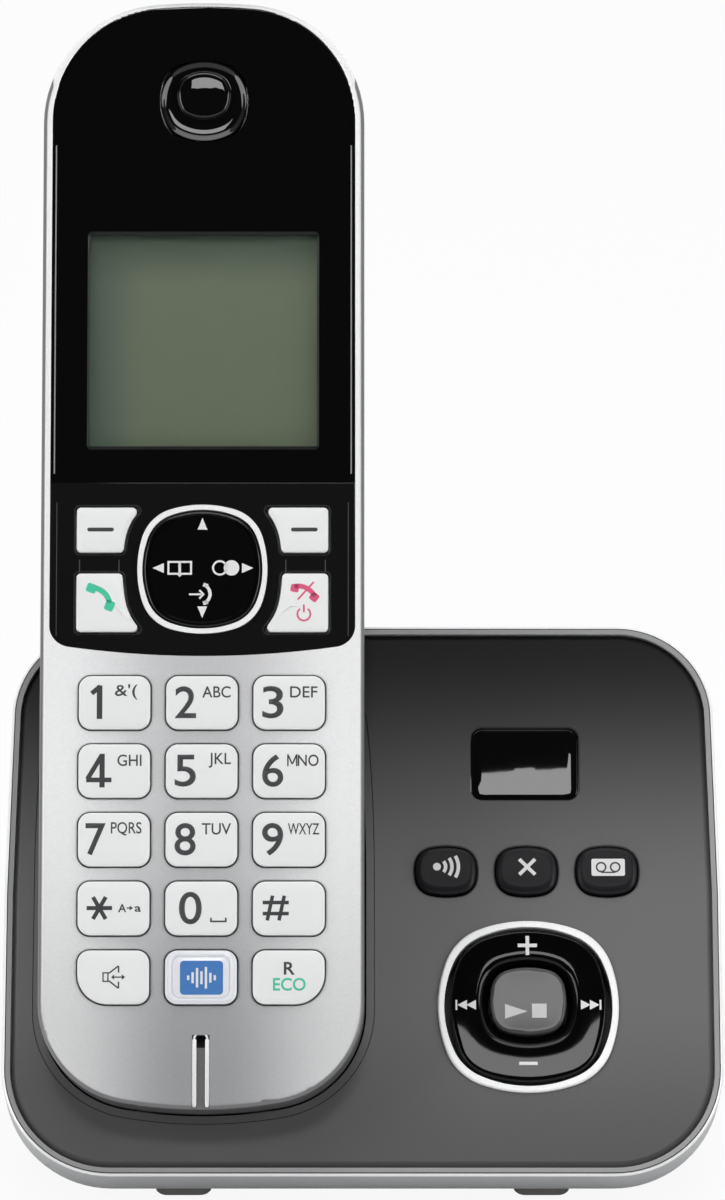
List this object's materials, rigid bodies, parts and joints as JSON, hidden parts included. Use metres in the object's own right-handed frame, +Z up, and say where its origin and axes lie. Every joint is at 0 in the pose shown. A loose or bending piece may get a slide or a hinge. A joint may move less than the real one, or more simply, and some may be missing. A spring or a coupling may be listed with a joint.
{
  "type": "answering machine",
  "caption": "Cordless telephone base with built-in answering machine: tilted face with play ring, message window and oval buttons, and its handset docked in the cradle.",
  "frame": {"origin": "bottom centre of the whole object's bounding box, on the table under the four feet", "axes": "+Z up, +X to the right as seen from the front, +Y to the back; the base's face looks to -Y and up"},
  "size_m": [0.112, 0.1004, 0.1722],
  "materials": {
    "silver_paint": "silver metallic paint, satin",
    "rim_silver": "bright silver paint, gloss",
    "back_grey": "moulded dark silver, fine texture",
    "black_gloss": "piano black",
    "graphite": "satin graphite",
    "case_black": "fine moulded texture",
    "key_white": "satin, printed marks",
    "bright_trim": "bright trim",
    "screen_clear": "clear",
    "lcd_green": "grey-green display",
    "black_rubber": "matt",
    "mat_rubber": "translucent silicone",
    "board_green": "circuit board",
    "contact_metal": "plated contacts",
    "screw_steel": "zinc plated",
    "capsule_metal": "drawn metal",
    "cell_sleeve": "shrink sleeve",
    "jack_plastic": "moulded"
  },
  "bodies": {
    "base": {"base_upper_case": "rim_silver", "base_face_panel": "graphite", "cradle_tray": "case_black", "cradle_contacts": "contact_metal", "counter_window": "black_gloss", "counter_display": "jack_plastic", "play_ring_trim": "bright_trim", "base_button_mat": "mat_rubber", "base_circuit_board": "board_green", "base_lower_case": "case_black", "base_bottom_plate": "case_black", "rubber_feet": "black_rubber", "base_screws": "screw_steel", "base_speaker": "capsule_metal", "line_and_power_jacks": "jack_plastic"},
    "handset": {"handset_front_cover": "silver_paint", "handset_back_cover": "back_grey", "screen_fascia": "black_gloss", "key_fascia": "black_gloss", "display_lens": "screen_clear", "lcd_module": "lcd_green", "earpiece_insert": "black_gloss", "earpiece_receiver": "capsule_metal", "nav_trim": "bright_trim", "keypad_mat": "mat_rubber", "handset_circuit_board": "board_green", "microphone": "capsule_metal", "handsfree_speaker": "capsule_metal", "battery_cells": "cell_sleeve", "battery_contacts": "contact_metal", "handset_charge_contacts": "contact_metal", "handset_screws": "screw_steel"},
    "battery_cover": {"battery_cover": "back_grey"},
    "nav_pivot": {"nav_pivot": "mat_rubber"},
    "nav_key": {"nav_key": "black_gloss"},
    "play_ring_pivot": {"play_ring_pivot": "mat_rubber"},
    "play_ring": {"play_ring": "black_gloss"},
    "key_speaker": {"key_speaker": "key_white"},
    "key_noise": {"key_noise": "key_white"},
    "key_recall": {"key_recall": "key_white"},
    "key_star": {"key_star": "key_white"},
    "key_0": {"key_0": "key_white"},
    "key_hash": {"key_hash": "key_white"},
    "key_7": {"key_7": "key_white"},
    "key_8": {"key_8": "key_white"},
    "key_9": {"key_9": "key_white"},
    "key_4": {"key_4": "key_white"},
    "key_5": {"key_5": "key_white"},
    "key_6": {"key_6": "key_white"},
    "key_1": {"key_1": "key_white"},
    "key_2": {"key_2": "key_white"},
    "key_3": {"key_3": "key_white"},
    "soft_key_left": {"soft_key_left": "key_white"},
    "soft_key_right": {"soft_key_right": "key_white"},
    "talk_key": {"talk_key": "key_white"},
    "off_key": {"off_key": "key_white"},
    "locator_button": {"locator_button": "black_gloss"},
    "erase_button": {"erase_button": "black_gloss"},
    "answer_button": {"answer_button": "black_gloss"},
    "play_stop_button": {"play_stop_button": "black_gloss"}
  },
  "joints": [
    {"name": "handset_lift", "type": "slide", "parent": "base", "child": "handset", "axis": [0, 0.5, 0.866], "range_m": [0, 0.1]},
    {"name": "battery_cover_slide", "type": "slide", "parent": "handset", "child": "battery_cover", "axis": [0, -0.5, -0.866], "range_m": [0, 0.003]},
    {"name": "nav_up_down", "type": "hinge", "parent": "handset", "child": "nav_pivot", "pos_m": [-0.02475, -0.00568, 0.09309], "axis": [1, 0, 0], "range_deg": [-2.5, 2.5], "stiffness_Nm_per_rad": 0.05},
    {"name": "nav_left_right", "type": "hinge", "parent": "nav_pivot", "child": "nav_key", "pos_m": [-0.02475, -0.00568, 0.09309], "axis": [0, 0.5, 0.866], "range_deg": [-2.5, 2.5], "stiffness_Nm_per_rad": 0.05},
    {"name": "play_ring_up_down", "type": "hinge", "parent": "base", "child": "play_ring_pivot", "pos_m": [0.0258, -0.02394, 0.02575], "axis": [1, 0, 0], "range_deg": [-2, 2], "stiffness_Nm_per_rad": 0.08},
    {"name": "play_ring_left_right", "type": "hinge", "parent": "play_ring_pivot", "child": "play_ring", "pos_m": [0.0258, -0.02394, 0.02575], "axis": [0, 0.6293, 0.7771], "range_deg": [-2, 2], "stiffness_Nm_per_rad": 0.08},
    {"name": "key_speaker_press", "type": "slide", "parent": "handset", "child": "key_speaker", "axis": [0, 0.866, -0.5], "range_m": [0, 0.0005], "stiffness_N_per_m": 250},
    {"name": "key_noise_press", "type": "slide", "parent": "handset", "child": "key_noise", "axis": [0, 0.866, -0.5], "range_m": [0, 0.0005], "stiffness_N_per_m": 250},
    {"name": "key_recall_press", "type": "slide", "parent": "handset", "child": "key_recall", "axis": [0, 0.866, -0.5], "range_m": [0, 0.0005], "stiffness_N_per_m": 250},
    {"name": "key_star_press", "type": "slide", "parent": "handset", "child": "key_star", "axis": [0, 0.866, -0.5], "range_m": [0, 0.0005], "stiffness_N_per_m": 250},
    {"name": "key_0_press", "type": "slide", "parent": "handset", "child": "key_0", "axis": [0, 0.866, -0.5], "range_m": [0, 0.0005], "stiffness_N_per_m": 250},
    {"name": "key_hash_press", "type": "slide", "parent": "handset", "child": "key_hash", "axis": [0, 0.866, -0.5], "range_m": [0, 0.0005], "stiffness_N_per_m": 250},
    {"name": "key_7_press", "type": "slide", "parent": "handset", "child": "key_7", "axis": [0, 0.866, -0.5], "range_m": [0, 0.0005], "stiffness_N_per_m": 250},
    {"name": "key_8_press", "type": "slide", "parent": "handset", "child": "key_8", "axis": [0, 0.866, -0.5], "range_m": [0, 0.0005], "stiffness_N_per_m": 250},
    {"name": "key_9_press", "type": "slide", "parent": "handset", "child": "key_9", "axis": [0, 0.866, -0.5], "range_m": [0, 0.0005], "stiffness_N_per_m": 250},
    {"name": "key_4_press", "type": "slide", "parent": "handset", "child": "key_4", "axis": [0, 0.866, -0.5], "range_m": [0, 0.0005], "stiffness_N_per_m": 250},
    {"name": "key_5_press", "type": "slide", "parent": "handset", "child": "key_5", "axis": [0, 0.866, -0.5], "range_m": [0, 0.0005], "stiffness_N_per_m": 250},
    {"name": "key_6_press", "type": "slide", "parent": "handset", "child": "key_6", "axis": [0, 0.866, -0.5], "range_m": [0, 0.0005], "stiffness_N_per_m": 250},
    {"name": "key_1_press", "type": "slide", "parent": "handset", "child": "key_1", "axis": [0, 0.866, -0.5], "range_m": [0, 0.0005], "stiffness_N_per_m": 250},
    {"name": "key_2_press", "type": "slide", "parent": "handset", "child": "key_2", "axis": [0, 0.866, -0.5], "range_m": [0, 0.0005], "stiffness_N_per_m": 250},
    {"name": "key_3_press", "type": "slide", "parent": "handset", "child": "key_3", "axis": [0, 0.866, -0.5], "range_m": [0, 0.0005], "stiffness_N_per_m": 250},
    {"name": "soft_key_left_press", "type": "slide", "parent": "handset", "child": "soft_key_left", "axis": [0, 0.866, -0.5], "range_m": [0, 0.0005], "stiffness_N_per_m": 250},
    {"name": "soft_key_right_press", "type": "slide", "parent": "handset", "child": "soft_key_right", "axis": [0, 0.866, -0.5], "range_m": [0, 0.0005], "stiffness_N_per_m": 250},
    {"name": "talk_key_press", "type": "slide", "parent": "handset", "child": "talk_key", "axis": [0, 0.866, -0.5], "range_m": [0, 0.0005], "stiffness_N_per_m": 250},
    {"name": "off_key_press", "type": "slide", "parent": "handset", "child": "off_key", "axis": [0, 0.866, -0.5], "range_m": [0, 0.0005], "stiffness_N_per_m": 250},
    {"name": "locator_button_press", "type": "slide", "parent": "base", "child": "locator_button", "axis": [0, 0.7771, -0.6293], "range_m": [0, 0.0006], "stiffness_N_per_m": 300},
    {"name": "erase_button_press", "type": "slide", "parent": "base", "child": "erase_button", "axis": [0, 0.7771, -0.6293], "range_m": [0, 0.0006], "stiffness_N_per_m": 300},
    {"name": "answer_button_press", "type": "slide", "parent": "base", "child": "answer_button", "axis": [0, 0.7771, -0.6293], "range_m": [0, 0.0006], "stiffness_N_per_m": 300},
    {"name": "play_stop_button_press", "type": "slide", "parent": "base", "child": "play_stop_button", "axis": [0, 0.7771, -0.6293], "range_m": [0, 0.0006], "stiffness_N_per_m": 300}
  ]
}
